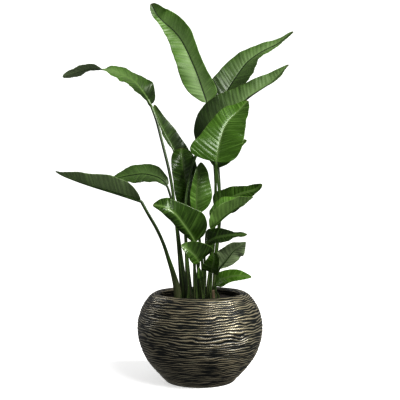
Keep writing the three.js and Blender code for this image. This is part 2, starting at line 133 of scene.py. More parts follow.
class Shader:
    """Builds one material or world: node() adds any node, and the other methods name common ones."""

    def __init__(self, name, world=None):
        self.owner = world or bpy.data.materials.new(name)
        self.owner.use_nodes = True
        self.tree = self.owner.node_tree
        self.tree.nodes.clear()

    def node(self, kind, settings, sockets, output=0):
        made = self.tree.nodes.new(kind)
        for key, value in settings.items():
            setattr(made, key, value)
        for key, value in sockets.items():
            if isinstance(value, Socket):
                self.tree.links.new(value.link, made.inputs[key])
            else:
                made.inputs[key].default_value = value
        return Socket(self, made.outputs[output]) if made.outputs else None

    def attribute(self, name, output="Fac"):
        return self.node("ShaderNodeAttribute", {"attribute_name": name}, {}, output)

    def noise(self, vector, scale, detail=2.0, roughness=0.5):
        sockets = {"Vector": vector, "Scale": scale, "Detail": detail, "Roughness": roughness}
        return self.node("ShaderNodeTexNoise", {}, sockets, "Fac")

    def vector(self, x, y, z):
        return self.node("ShaderNodeCombineXYZ", {}, {"X": x, "Y": y, "Z": z})

    def scaled(self, vector, factors):
        return self.node("ShaderNodeVectorMath", {"operation": "MULTIPLY"}, {0: vector, 1: factors})

    def place(self):
        return self.node("ShaderNodeTexCoord", {}, {}, "Object")

    def step(self, value, low, high):
        """0 below low, 1 above high, smooth between."""
        settings = {"interpolation_type": "SMOOTHSTEP"}
        sockets = {"Value": value, "From Min": low, "From Max": high}
        return self.node("ShaderNodeMapRange", settings, sockets)

    def mix(self, factor, a, b):
        """Colour a where the factor is 0 and b where it is 1."""
        low, high = (c if isinstance(c, Socket) else (*c, 1.0) for c in (a, b))
        sockets = {MIX_FACTOR: factor, MIX_A: low, MIX_B: high}
        return self.node("ShaderNodeMix", {"data_type": "RGBA"}, sockets, MIX_RESULT)

    def bump(self, height, strength, distance):
        sockets = {"Height": height, "Strength": strength, "Distance": distance}
        return self.node("ShaderNodeBump", {}, sockets)

    def finish(self, sockets, glow=None):
        """Ends the material in a Principled BSDF; glow is (share, colour) of light let through."""
        surface = self.node("ShaderNodeBsdfPrincipled", {}, sockets)
        if glow:
            share, colour = glow
            through = self.node("ShaderNodeBsdfTranslucent", {}, {"Color": (*colour, 1.0)})
            surface = self.node("ShaderNodeMixShader", {}, {0: share, 1: surface, 2: through})
        self.node("ShaderNodeOutputMaterial", {}, {"Surface": surface})
        return self.owner


# ---------------------------------------------------------------- reading the frame's solids
class Skin:
    """The welded points of a frame node, and which corner follows each pair of them round a face."""

    def __init__(self, node):
        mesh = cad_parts[node].data
        spots = np.zeros(len(mesh.vertices) * 3)
        mesh.vertices.foreach_get("co", spots)
        mesh.calc_loop_triangles()
        corners = np.zeros(len(mesh.loop_triangles) * 3, int)
        mesh.loop_triangles.foreach_get("vertices", corners)
        self.points, place = np.unique(np.round(spots.reshape(-1, 3), 6), axis=0, return_inverse=True)
        self.follow = {}
        self.beside = {}
        for a, b, c in place.ravel()[corners].reshape(-1, 3).tolist():
            for p, q, r in ((a, b, c), (b, c, a), (c, a, b)):
                self.follow[p, q] = r
                self.beside.setdefault(p, set()).add(q)

    def caps(self, sides):
        return [v for v, others in self.beside.items() if len(others) == sides]

    def first_ring(self, cap):
        ring = [min(self.beside[cap])]
        while len(ring) < len(self.beside[cap]):
            ring.append(self.follow[ring[-1], cap])
        return ring


def tube_rings(node):
    """The rings of a stalk from its foot up, as an array (rings, sides, 3)."""
    skin = Skin(node)
    start, end = sorted(skin.caps(STALK_SIDES), key=lambda v: skin.points[v][2])
    ring = skin.first_ring(start)
    rings = [ring]
    while end not in skin.beside[ring[0]]:
        pairs = zip(ring, ring[1:] + ring[:1])
        above = [skin.follow[pair] for pair in pairs]
        ring = above[-1:] + above[:-1]
        rings.append(ring)
    return skin.points[np.array(rings)]


def blade_rings(node, near):
    """The rings of a blade from the end next to near, each starting at its left margin."""
    skin = Skin(node)
    start, end = sorted(skin.caps(BLADE_POINTS), key=lambda v: np.linalg.norm(skin.points[v] - near))
    ring = skin.first_ring(start)
    known = {start, *ring}
    margin = max(range(BLADE_POINTS), key=lambda k: len(skin.beside[ring[k]] - known))
    ring = ring[margin:] + ring[:margin]
    rings = [ring]
    while end not in skin.beside[ring[0]]:
        pairs = list(zip(ring, ring[1:] + ring[:1]))
        above = [None] * BLADE_POINTS
        for k, pair in enumerate(pairs):
            above[k + 1 if k < OTHER_MARGIN else k] = skin.follow[pair]
        above[MARGIN] = skin.follow[ring[MARGIN], above[MARGIN + 1]]
        ring = above
        rings.append(ring)
    return skin.points[np.array(rings)]


def lathe_profile(node):
    """[radius, height] of a turned node, walked along its edges on the +X side."""
    skin = Skin(node)
    on_plane = {v for v, p in enumerate(skin.points) if abs(p[1]) < 1e-5 and p[0] > -1e-5}
    axis = sorted((v for v in on_plane if abs(skin.points[v][0]) < 1e-5), key=lambda v: skin.points[v][2])
    walk = [axis[0]]
    while walk[-1] != axis[-1]:
        ahead = [v for v in skin.beside[walk[-1]] if v in on_plane and v not in walk]
        walk.append(min(ahead, key=lambda v: np.linalg.norm(skin.points[v] - skin.points[walk[-1]])))
    return skin.points[walk][:, [0, 2]]


# ---------------------------------------------------------------- geometry helpers
def smooth(values, spots):
    """Catmull-Rom values along the first axis, at places counted in steps from 0."""
    last = len(values) - 1
    padded = np.concatenate([[2 * values[0] - values[1]], values, [2 * values[-1] - values[-2]]])
    spots = np.clip(spots, 0, last)
    low = np.minimum(spots.astype(int), last - 1)
    t = (spots - low).reshape(-1, *[1] * (values.ndim - 1))
    a, b, c, d = (padded[low + k] for k in range(4))
    return b + 0.5 * t * (c - a + t * (2 * a - 5 * b + 4 * c - d + t * (3 * (b - c) + d - a)))


def unit(vectors):
    return vectors / np.maximum(np.linalg.norm(vectors, axis=-1, keepdims=True), 1e-12)


def lengths_along(points):
    steps = np.linalg.norm(np.diff(points, axis=0), axis=-1)
    return np.concatenate([np.zeros((1, *steps.shape[1:])), np.cumsum(steps, axis=0)])


def ease(x):
    x = np.clip(x, 0, 1)
    return x * x * (3 - 2 * x)


def wander(values, seed):
    """Smooth random numbers from -1 to 1 along a list of places."""
    return np.array([noise.noise(Vector((float(v), seed * 7.31, seed * 1.7))) for v in values])


def grid_faces(rows, columns, first=0, wrap=False, flip=False):
    span = columns if wrap else columns - 1
    i, j = np.meshgrid(np.arange(rows - 1), np.arange(span), indexing="ij")
    low = first + i * columns + j
    side = first + i * columns + (j + 1) % columns
    quads = np.stack([low, side, side + columns, low + columns], -1).reshape(-1, 4)
    return (quads[:, ::-1] if flip else quads).tolist()


def mesh_object(name, points, faces, attributes=(), slots=None):
    """A smooth mesh object with float attributes, given as (name, values) pairs."""
    mesh = bpy.data.meshes.new(name)
    mesh.from_pydata(np.asarray(points).reshape(-1, 3).tolist(), [], faces)
    mesh.validate()
    mesh.shade_smooth()
    for label, values in attributes:
        layer = mesh.attributes.new(label, "FLOAT", "POINT")
        layer.data.foreach_set("value", np.asarray(values, np.float32).ravel())
    if slots is not None:
        mesh.polygons.foreach_set("material_index", slots)
    made = bpy.data.objects.new(name, mesh)
    bpy.context.scene.collection.objects.link(made)
    return made


def give(obj, *materials):
    for material in materials:
        obj.data.materials.append(material)


# ---------------------------------------------------------------- leaves
ROW_PITCH = 2.3 * MM
COLUMN_PITCH = 3.2 * MM
SHEET = 0.9 * MM  # thickness of the shown blade
RIB = 3  # column of the rib in a coarse half section
BELOW = 10  # point under the blade opposite point 2 of its section
TAPER = 0.12  # share of a blade's length over which its waves fade out
FINE_PLEATS = 2.6  # fine pleats to a broad one


class Blade:
    """The fine surface of one blade, worked out from its coarse solid."""

    def __init__(self, node, near, wave, seed):
        rings = blade_rings(node, near)
        thickness = rings[:, 2] - rings[:, BELOW]
        up = unit(thickness)
        middle = [rings[:, MARGIN]]
        for k in range(1, OTHER_MARGIN):
            middle.append((rings[:, k] + rings[:, BLADE_POINTS - k]) / 2)
        middle.append(rings[:, OTHER_MARGIN])
        middle[RIB] = rings[:, RIB] - thickness / 2
        coarse = np.stack(middle, 1)
        rib_length = lengths_along(coarse[:, RIB])[-1]
        width = max(lengths_along(coarse.transpose(1, 0, 2))[-1])
        self.rows = int(np.clip(rib_length / ROW_PITCH, 40, 190))
        half = int(np.clip(width / COLUMN_PITCH / 2, 8, 24))
        self.columns = 2 * half + 1
        self.half = half
        last = len(coarse) - 1
        even = np.interp(
            np.linspace(0, 1, self.rows),
            lengths_along(coarse[:, RIB]) / rib_length,
            np.arange(last + 1),
        )
        along = 0.7 * even + 0.3 * np.linspace(0, last, self.rows)
        long = smooth(coarse, along)
        self.up = unit(smooth(up, along))
        spots = np.linspace(0, 1, half + 1) * RIB
        left = smooth(long[:, RIB::-1].transpose(1, 0, 2), spots).transpose(1, 0, 2)
        right = smooth(long[:, RIB:].transpose(1, 0, 2), spots).transpose(1, 0, 2)
        self.points = np.concatenate([left[:, :0:-1], right], 1)
        self.measure()
        self.shape(wave, seed)
        self.measure_normals()

    def measure(self):
        """Distances along the rib and out from it, in metres, and the share of the half's width."""
        rib = self.points[:, self.half]
        self.along = lengths_along(rib)
        out = lengths_along(self.points.transpose(1, 0, 2)).T
        self.across = out - out[:, self.half : self.half + 1]
        ends = np.where(self.across < 0, -self.across[:, :1], self.across[:, -1:])
        self.share = np.abs(self.across) / np.maximum(ends, 1e-6)
        self.width = ends
        self.measure_normals()

    def measure_normals(self):
        forward = np.gradient(self.points, axis=0)
        side = np.gradient(self.points, axis=1)
        normal = unit(np.cross(side, forward))
        facing = np.sign((normal * self.up[:, None]).sum(-1).mean())
        self.normal = normal * facing

    def shape(self, wave, seed):
        """Waves at the margins, pleats between the side veins and the channel over the rib."""
        a = self.along[:, None]
        out = np.abs(self.across)
        side = np.sign(self.across)
        length = self.along[-1]
        taper = ease(a / (TAPER * length)) * ease((length - a) / (TAPER * length))
        self.vein = a - 0.42 * out - 1.2 * out * out
        pitch = 12 * MM + 3 * MM * min(1.0, length / 0.4)
        drift = wander(self.vein.ravel() / (3.1 * pitch), seed).reshape(self.vein.shape)
        phase = self.vein / pitch + 0.9 * drift + 0.25 * side
        crest = np.cos(2 * math.pi * phase)
        fine = np.cos(2 * math.pi * (FINE_PLEATS * phase + 0.3 * side + seed))
        body = ease(out / (10 * MM)) * (0.55 + 0.45 * taper)
        offset = body * (0.42 * MM * crest + 0.13 * MM * fine)
        strength = (self.share**2.2) * taper * wave
        slow = np.sin(2 * math.pi * (a / 0.105 + 0.37 * side + seed * 0.618))
        quick = np.sin(2 * math.pi * (a / 0.041 + 0.21 * side + seed * 0.37) + 2 * drift)
        strength = strength * np.minimum(self.width / 0.05, 1)
        offset = offset + strength * (2.6 * MM * slow + 1.3 * MM * quick)
        bulge = noise_field(self.points, 14.0, seed)
        offset = offset + bulge * 2.2 * MM * ease(out / (12 * MM)) * taper
        channel = np.exp(-((out / (2.0 * MM)) ** 2)) * ease((length - a) / (0.5 * length))
        offset = offset - 0.9 * MM * channel
        self.points = self.points + self.normal * offset[..., None]


def noise_field(points, scale, seed):
    shift = Vector((seed * 3.1, seed * 5.7, seed * 2.3))
    flat = points.reshape(-1, 3) * scale
    return np.array([noise.noise(Vector(p) + shift) for p in flat.tolist()]).reshape(points.shape[:-1])


def stalk_sections(node):
    """Middle line of a stalk and its mean radius, at each ring of the frame's solid."""
    rings = tube_rings(node)
    centre = rings.mean(1)
    radius = np.linalg.norm(rings - centre[:, None], axis=-1).mean(1)
    return centre, radius


STALK_POINTS = 20
STALK_PITCH = 7 * MM


def tube(centre, radius, up, groove, flat, closed_tip):
    """Points and faces of a grooved tube; up is where its channel faces, groove how deep it is."""
    ahead = unit(np.gradient(centre, axis=0))
    up = unit(up - ahead * (up * ahead).sum(-1, keepdims=True))
    side = np.cross(ahead, up)
    turn = np.linspace(0, 2 * math.pi, STALK_POINTS, endpoint=False)
    channel = np.exp(-(((turn - math.pi / 2) / 0.42) ** 2))
    size = radius[:, None] * (1 - groove[:, None] * channel)
    points = (
        centre[:, None]
        + side[:, None] * (size * np.cos(turn))[..., None]
        + up[:, None] * (size * np.sin(turn) * flat[:, None])[..., None]
    )
    rows = len(centre)
    faces = grid_faces(rows, STALK_POINTS, wrap=True, flip=True)
    points = points.reshape(-1, 3)
    caps = np.array([centre[0], centre[-1] + (ahead[-1] * radius[-1] if closed_tip else 0)])
    points = np.concatenate([points, caps])
    low, high = len(points) - 2, len(points) - 1
    top = (rows - 1) * STALK_POINTS
    for k in range(STALK_POINTS):
        nxt = (k + 1) % STALK_POINTS
        faces.append([low, k, nxt])
        faces.append([high, top + nxt, top + k])
    channel_values = np.concatenate([np.tile(channel, rows), [0, 1]])
    return points, faces, channel_values


def leaf_object(name, seed):
    """One whole leaf: grooved stalk, rib under the blade, and the pleated blade."""
    tone_and_painted_shade, bloom_and_painted_sheen, rib_shadow_to_pale, wave = LEAF_LOOKS[name]
    centre, radius = stalk_sections(f"leaf_{name}_stalk")
    blade = Blade(f"leaf_{name}_blade", centre[-1], wave, seed)
    rows, columns, half = blade.rows, blade.columns, blade.half

    # Stalk, continued under the blade as its rib.
    length = lengths_along(centre)
    count = int(length[-1] / STALK_PITCH) + 2
    spots = np.interp(np.linspace(0, length[-1], count), length, np.arange(len(centre)))
    stem = smooth(centre, spots)
    stem_radius = smooth(radius, spots)
    inward = blade.normal[0, half]
    foot_up = np.array([0.0, math.copysign(1.0, inward[1]), 0.2])
    blend = ease(np.linspace(-0.6, 1, count))[:, None]
    stem_up = unit(foot_up * (1 - blend) + inward * blend)
    share = blade.along / blade.along[-1]
    rib_radius = np.maximum(stem_radius[-1] * (1 - share) ** 1.15 * 0.9, 0.35 * MM)
    under = blade.points[:, half] - blade.normal[:, half] * (rib_radius * 0.75)[:, None]
    keep = slice(1, rows - 2, 2)
    line = np.concatenate([stem, under[keep]])
    tube_radius = np.concatenate([stem_radius, rib_radius[keep]])
    tube_up = np.concatenate([stem_up, blade.normal[keep, half]])
    line[count - 2 : count + 3] = smooth(line[count - 4 : count + 5 : 2], np.linspace(1, 3, 5))
    climb = np.concatenate([np.linspace(0, 1, count), np.ones(len(under[keep]))])
    groove = 0.12 + 0.34 * ease(climb * 1.6)
    flat = 0.80 + 0.14 * ease(climb * 2)
    stem_points, stem_faces, channel = tube(line, tube_radius, tube_up, groove, flat, True)
    stem_count = len(stem_points)

    # Blade as a thin closed sheet.
    thick = SHEET / 2 * (1 - 0.7 * blade.share**6)
    above = blade.points + blade.normal * thick[..., None]
    below = blade.points - blade.normal * thick[..., None]
    first = stem_count
    size = rows * columns
    faces = grid_faces(rows, columns, first)
    under_faces = grid_faces(rows, columns, first + size, flip=True)
    rim = [i * columns for i in range(rows)]
    rim += [(rows - 1) * columns + j for j in range(1, columns)]
    rim += [i * columns + columns - 1 for i in range(rows - 2, -1, -1)]
    rim += list(range(columns - 2, 0, -1))
    edge = []
    for p, q in zip(rim, rim[1:] + rim[:1]):
        edge.append([first + p, first + q, first + size + q, first + size + p])
    points = np.concatenate([stem_points, above.reshape(-1, 3), below.reshape(-1, 3)])
    outward = np.cross(above[1, 1] - above[0, 0], above[1, 0] - above[0, 1])
    if (outward * blade.normal[0, 0]).sum() > 0:
        faces, under_faces, edge = ([f[::-1] for f in part] for part in (faces, under_faces, edge))
    slots = [0] * len(stem_faces) + [1] * len(faces) + [2] * len(under_faces) + [1] * len(edge)

    def field(on_stem, on_blade):
        return np.concatenate([np.broadcast_to(on_stem, stem_count), on_blade.ravel(), on_blade.ravel()])

    height = np.concatenate([np.repeat(line[:, 2], STALK_POINTS), [line[0, 2], line[-1, 2]]])
    foot = 1 - ease((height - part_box("soil")[1].z) / 0.14)
    attributes = [
        ("vein", field(0, blade.vein)),
        ("across", field(0, blade.across)),
        ("share", field(0, blade.share)),
        ("along", field(0, np.repeat(share[:, None], columns, 1))),
        # Tone also paints shade and light along the leaf, bloom is partly a painted sheen, and a low rib paleness
        # paints a shadow in the rib's channel.
        ("tone_and_painted_shade", field(tone_and_painted_shade[0], np.repeat(np.interp(share, (0.1, 0.8), tone_and_painted_shade)[:, None], columns, 1))),
        ("bloom_and_painted_sheen", field(0, np.repeat(np.interp(share, (0.1, 0.8), bloom_and_painted_sheen)[:, None], columns, 1))),
        ("rib_shadow_to_pale", np.full(len(points), rib_shadow_to_pale)),
        ("seed", np.full(len(points), seed * 1.37)),
        ("channel", field(channel, np.zeros((rows, columns)))),
        ("foot", field(foot, np.zeros((rows, columns)))),
    ]
    return mesh_object(f"leaf_{name}", points, stem_faces + faces + under_faces + edge, attributes, slots)


def bare_stalk(name, seed, closed_tip):
    """A stalk with no blade, pointed if its tip is closed and cut off flat if not."""
    centre, radius = stalk_sections(name)
    length = lengths_along(centre)
    count = int(length[-1] / (2.5 * MM)) + 2
    spots = np.interp(np.linspace(0, length[-1], count), length, np.arange(len(centre)))
    line = smooth(centre, spots)
    size = smooth(radius, spots)
    up = np.tile([0.3, -1.0, 0.1], (count, 1))
    climb = np.linspace(0, 1, count)
    points, faces, channel = tube(line, size, up, 0.25 + 0.2 * climb, np.full(count, 0.8), closed_tip)
    height = points[:, 2]
    foot = 1 - ease((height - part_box("soil")[1].z) / 0.06)
    attributes = [
        ("tone_and_painted_shade", np.full(len(points), 0.6)),
        ("seed", np.full(len(points), seed * 1.37)),
        ("channel", channel),
        ("foot", foot),
    ]
    return mesh_object(name + "_skin", points, faces, attributes)


# ---------------------------------------------------------------- materials
def vein_place(shader, stretch):
    """Texture place that changes fast from vein to vein and, by stretch, slowly along them."""
    out = shader.attribute("across") * stretch
    return shader.vector(shader.attribute("vein"), out, shader.attribute("seed"))


def vein_texture(shader, stretch, scale):
    """Streaks that run with the side veins."""
    return shader.noise(vein_place(shader, stretch), scale, 3.0, 0.6)


def vein_lines(shader):
    """1 on the thin side veins that stand out, irregularly apart."""
    lines = shader.noise(vein_place(shader, 0.02), 75.0, 1.0)
    return 1 - shader.step(abs(lines - 0.5), 0.004, 0.030)


def blade_material(colours):
    shader = Shader("blade_upper")
    tone_and_painted_shade, bloom_and_painted_sheen = shader.attribute("tone_and_painted_shade"), shader.attribute("bloom_and_painted_sheen")
    out = abs(shader.attribute("across"))
    streak = vein_texture(shader, 0.06, 420.0)
    broad = vein_texture(shader, 0.25, 60.0)
    patches = shader.noise(shader.place(), 9.0, 3.0)
    # Per-leaf tone, partly painted shade and light, varied by streaks and patches.
    level = (tone_and_painted_shade + (streak - 0.5) * 0.55 + (broad - 0.5) * 0.5 + (patches - 0.5) * 0.5).clamped()
    colour = shader.mix(level, colours.blade_deep_and_painted_shade, colours.blade_fresh_and_painted_light)
    lines = vein_lines(shader)
    veins = (shader.step(streak, 0.54, 0.74) + lines) * (0.2 + 0.5 * tone_and_painted_shade)
    colour = shader.mix(veins, colour, colours.blade_vein)
    # Pale waxy bloom, partly a painted sheen, strongest near the rib.
    bloom_and_sheen_near_rib = 1.15 - shader.attribute("share")
    colour = shader.mix((bloom_and_painted_sheen * (0.4 + 0.8 * broad) * bloom_and_sheen_near_rib).clamped(), colour, colours.blade_bloom_and_painted_sheen)
    # Over the rib: a painted shadow in its channel on leaves with a dark rib, a pale rib colour on the others.
    rib = 1 - shader.step(out, 0.0015, 0.0034)
    rib_colour = shader.mix(shader.attribute("rib_shadow_to_pale"), colours.rib_channel_painted_shadow, colours.rib_top)
    colour = shader.mix(rib * 0.9, colour, rib_colour)
    # Paler strips along both flanks of the rib: pale tissue, and a painted highlight beside the channel.
    pale_and_lit_flank = (1 - shader.step(out, 0.0030, 0.0085)) * (1 - rib)
    colour = shader.mix(pale_and_lit_flank * 0.35, colour, colours.blade_vein)
    edge = shader.step(shader.attribute("share"), 0.975, 0.998)
    colour = shader.mix(edge * 0.6, colour, colours.blade_edge)
    tip = shader.step(shader.attribute("along"), 0.965, 1.0) * patches
    colour = shader.mix(tip, colour, colours.dry)
    rough = 0.17 + 0.14 * patches + 0.10 * (streak - 0.5) + 0.30 * bloom_and_painted_sheen
    ridges = streak * 0.6 + broad * 0.4 + lines * 0.4 + shader.noise(shader.place(), 700.0, 1.0) * 0.12
    return shader.finish(
        {
            "Base Color": colour,
            "Roughness": rough,
            "Normal": shader.bump(ridges, 0.22, 0.0010),
        },
        (0.16, colours.glow[:3]),
    )


def underside_material(colours):
    shader = Shader("blade_under")
    tone_and_painted_shade, bloom_and_painted_sheen = shader.attribute("tone_and_painted_shade"), shader.attribute("bloom_and_painted_sheen")
    streak = vein_texture(shader, 0.05, 420.0)
    broad = vein_texture(shader, 0.3, 90.0)
    level = tone_and_painted_shade * 0.7 + (streak - 0.5) * 0.8 + (broad - 0.5) * 0.6 + 0.1
    level = (level + 0.6 * vein_lines(shader)).clamped()
    colour = shader.mix(level, colours.under_deep, colours.under_fresh)
    # Pale waxy bloom on the underside, partly a painted sheen.
    colour = shader.mix((bloom_and_painted_sheen * (0.5 + broad)).clamped(), colour, colours.under_bloom_and_painted_sheen)
    edge = shader.step(shader.attribute("share"), 0.975, 0.998)
    colour = shader.mix(edge * 0.5, colour, colours.blade_edge)
    return shader.finish(
        {
            "Base Color": colour,
            "Roughness": 0.42 + 0.16 * broad,
            "Normal": shader.bump(streak, 0.5, 0.0012),
        },
        (0.12, colours.glow[:3]),
    )


def stalk_material(colours):
    shader = Shader("stalk_skin")
    channel, foot = shader.attribute("channel"), shader.attribute("foot")
    place = shader.place()
    fibres = shader.noise(shader.scaled(place, (1.0, 1.0, 0.05)), 520.0, 3.0, 0.6)
    clouds = shader.noise(shader.scaled(place, (1.0, 1.0, 0.35)), 22.0, 3.0)
    # The leaf's tone, partly painted shade, darkens or lightens its stalk.
    level = (0.35 * shader.attribute("tone_and_painted_shade") + 1.9 * (clouds - 0.42) + 0.4 * (fibres - 0.5)).clamped()
    colour = shader.mix(level, colours.stalk_deep, colours.stalk_fresh)
    colour = shader.mix(shader.step(channel, 0.35, 0.95) * 0.55, colour, colours.stalk_pale)
    lip = shader.step(channel, 0.08, 0.25) * (1 - shader.step(channel, 0.25, 0.5))
    husk = foot * shader.step(clouds + 0.4 * lip, 0.5, 0.72)
    colour = shader.mix(husk * 0.75, colour, colours.sheath)
    return shader.finish(
        {
            "Base Color": colour,
            "Roughness": 0.28 + 0.25 * clouds * foot + 0.08 * fibres,
            "Normal": shader.bump(fibres, 0.4, 0.0008),
        }
    )


def husk_material(colours):
    shader = Shader("dry_sheath")
    place = shader.place()
    fibres = shader.noise(shader.scaled(place, (1.0, 1.0, 0.06)), 600.0, 4.0, 0.7)
    clouds = shader.noise(place, 60.0, 3.0)
    colour = shader.mix(fibres, colours.sheath, colours.dry)
    colour = shader.mix(shader.step(clouds, 0.5, 0.7) * 0.6, colour, colours.stalk_deep)
    return shader.finish(
        {"Base Color": colour, "Roughness": 0.62 + 0.25 * fibres, "Normal": shader.bump(fibres, 0.8, 0.0015)}
    )


def glaze_material(colours):
    shader = Shader("rippled_glaze")
    crest = shader.attribute("crest")
    place = shader.place()
    bands = shader.noise(shader.scaled(place, (1.0, 1.0, 7.0)), 26.0, 4.0, 0.65)
    grain = shader.noise(shader.scaled(place, (1.0, 1.0, 3.0)), 260.0, 3.0, 0.7)
    clouds = shader.noise(place, 7.0, 3.0)
    worn = shader.step(crest + 0.6 * (bands - 0.5) + 0.45 * (grain - 0.5), 0.46, 0.92)
    colour = shader.mix(clouds, colours.glaze_bronze, colours.glaze_brown)
    colour = shader.mix(shader.step(bands, 0.52, 0.68) * 0.45, colour, colours.glaze_green)
    colour = shader.mix(worn, colours.glaze_groove, colour)
    return shader.finish(
        {
            "Base Color": colour,
            "Metallic": worn * 0.35,
            "Roughness": 0.38 - 0.10 * worn + 0.25 * (grain - 0.5),
            "Coat Weight": worn * 0.7,
            "Coat Roughness": 0.2,
            "Normal": shader.bump(bands * 0.6 + grain * 0.4, 0.6, 0.0016),
        }
    )


def soil_material(colours):
    shader = Shader("potting_soil")
    place = shader.place()
    crumbs = shader.noise(place, 140.0, 4.0, 0.7)
    clods = shader.noise(place, 34.0, 3.0)
    colour = shader.mix(shader.step(crumbs, 0.4, 0.7), colours.soil_dark, colours.soil_light)
    colour = shader.mix(shader.step(clods, 0.58, 0.7) * 0.5, colour, colours.soil_dark)
    return shader.finish(
        {"Base Color": colour, "Roughness": 0.8 + 0.2 * clods, "Normal": shader.bump(crumbs, 0.9, 0.003)}
    )


def floor_material(colour):
    shader = Shader("studio_floor")
    speckle = shader.noise(shader.place(), 30.0, 2.0)
    tint = shader.mix(speckle * 0.04, colour[:3], (0.8, 0.8, 0.8))
    sockets = {"Base Color": tint, "Roughness": 0.9, "Emission Color": (1, 1, 1, 1), "Emission Strength": 0.50}
    return shader.finish(sockets)


# ---------------------------------------------------------------- pot and soil
WALL_ROWS = 1.5 * MM  # from row to row up the outside of the pot
LIP_ROWS = 3.0 * MM
LIP_CORNERS = 5  # corners of the frame's profile that make the lip
SOIL_COLUMNS = 240


def resample(profile, spacing):
    length = lengths_along(profile)
    count = max(2, int(round(length[-1] / spacing)) + 1)
    spots = np.interp(np.linspace(0, length[-1], count), length, np.arange(len(profile)))
    return smooth(profile, spots)


def turned_points(profile, columns):
    turn = np.linspace(0, 2 * math.pi, columns, endpoint=False)
    r, z = profile[:, :1], profile[:, 1:]
    return np.stack([r * np.cos(turn), r * np.sin(turn), np.broadcast_to(z, (len(profile), columns))], -1)


def close_turned(rows, columns, faces, low_centre, high_centre):
    top = (rows - 1) * columns
    for k in range(columns):
        nxt = (k + 1) % columns
        faces.append([low_centre, nxt, k])
        faces.append([high_centre, top + k, top + nxt])
    return faces


def ripple_height(points, spot, sizes):
    """0 in a groove and 1 on a crest, at each point of the wall; spot is the distance up the wall."""
    flat = points.reshape(-1, 3).tolist()

    def grain(across, up, shift=(0, 0)):
        dx, dy = shift
        spots = (Vector((x * across + dx, y * across + dy, z * up)) for x, y, z in flat)
        return np.array([noise.noise(p) for p in spots]).reshape(points.shape[:2])

    drift = 1.3 * grain(5.0, 9.0) + 0.85 * grain(15.0, 30.0, (9, 0)) + 0.34 * grain(42.0, 85.0, (0, 5))
    wave = np.cos(2 * math.pi * (spot[:, None] / sizes.ripple_pitch + drift))
    strokes = 0.50 * grain(15.0, 118.0, (0, 3)) + 0.36 * grain(34.0, 205.0, (0, 8))
    crest = 0.5 + 0.42 * wave + strokes
    return ease(crest)


def pot_object(sizes):
    """The pot's wall with its ripples pressed into the frame's outer surface, lip and inside."""
    profile = lathe_profile("pot")
    crest_at = int(profile[:, 1].argmax())
    outer = resample(profile[1 : crest_at + 1], WALL_ROWS)
    lip = resample(profile[crest_at : crest_at + LIP_CORNERS], LIP_ROWS)[1:]
    inner = profile[crest_at + LIP_CORNERS : -1]
    columns = sizes.pot_columns
    whole = np.concatenate([outer, lip, inner])
    points = turned_points(whole, columns)
    spot = lengths_along(whole)
    ripples = ripple_height(points, spot, sizes)
    from_foot = ease((spot - 2 * MM) / (10 * MM))
    top = spot[len(outer) - 1]
    near_lip = 1 - 0.72 * ease((spot - (top - 45 * MM)) / (40 * MM))
    inside = 1 - ease((spot - top - 22 * MM) / (8 * MM))
    depth = sizes.ripple_depth * from_foot * near_lip * inside
    ahead = unit(np.gradient(whole, axis=0))
    normal = np.stack([ahead[:, 1], -ahead[:, 0]], -1)
    push = depth[:, None] * (ripples - 1.0)
    radial = unit(np.concatenate([points[..., :2], np.zeros((*points.shape[:2], 1))], -1))
    points = points + radial * (push * normal[:, :1])[..., None]
    points[..., 2] += push * normal[:, 1:]
    rows = len(whole)
    faces = grid_faces(rows, columns, wrap=True)
    flat = points.reshape(-1, 3)
    ends = np.array([[0, 0, profile[0, 1]], [0, 0, profile[-1, 1]]])
    faces = close_turned(rows, columns, faces, len(flat), len(flat) + 1)
    flat = np.concatenate([flat, ends])
    return mesh_object("pot_rippled", flat, faces, [("crest", np.concatenate([ripples.ravel(), [0, 0]]))])


def soil_object(sizes):
    """Crumbly soil: the frame's soil with a rough top."""
    profile = lathe_profile("pot")
    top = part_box("soil")[1].z
    crest_at = int(profile[:, 1].argmax())
    wall = profile[crest_at:-1][::-1]
    heights = np.linspace(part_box("soil")[0].z, top - 3 * MM, 8)
    radii = np.interp(heights, wall[:, 1], wall[:, 0]) - 0.8 * MM
    rim = radii[-1]
    side = np.stack([radii, heights], -1)
    shelf = np.linspace(rim - 1.5 * MM, 2 * MM, 62)
    lid = np.stack([shelf, np.full(len(shelf), top - 1 * MM)], -1)
    columns = SOIL_COLUMNS
    whole = np.concatenate([side, lid])
    points = turned_points(whole, columns)
    lid_rows = slice(len(side), None)
    spots = points[lid_rows]
    rough = noise_field(spots, 26.0, 3) * 3.2 * MM + noise_field(spots, 85.0, 5) * 2.2 * MM
    rough = rough + np.abs(noise_field(spots, 190.0, 8)) * 2.0 * MM
    points[lid_rows, :, 2] += np.minimum(rough, 2.4 * MM)
    rows = len(whole)
    faces = grid_faces(rows, columns, wrap=True)
    flat = points.reshape(-1, 3)
    ends = np.array([[0, 0, heights[0]], [0, 0, points[-1, :, 2].mean()]])
    faces = close_turned(rows, columns, faces, len(flat), len(flat) + 1)
    return mesh_object("soil_crumbs", np.concatenate([flat, ends]), faces)


# ---------------------------------------------------------------- settings
def colour_property(name, description, value):
    return bpy.props.FloatVectorProperty(
        name=name, description=description, subtype="COLOR", size=3, min=0, max=1, default=value
    )


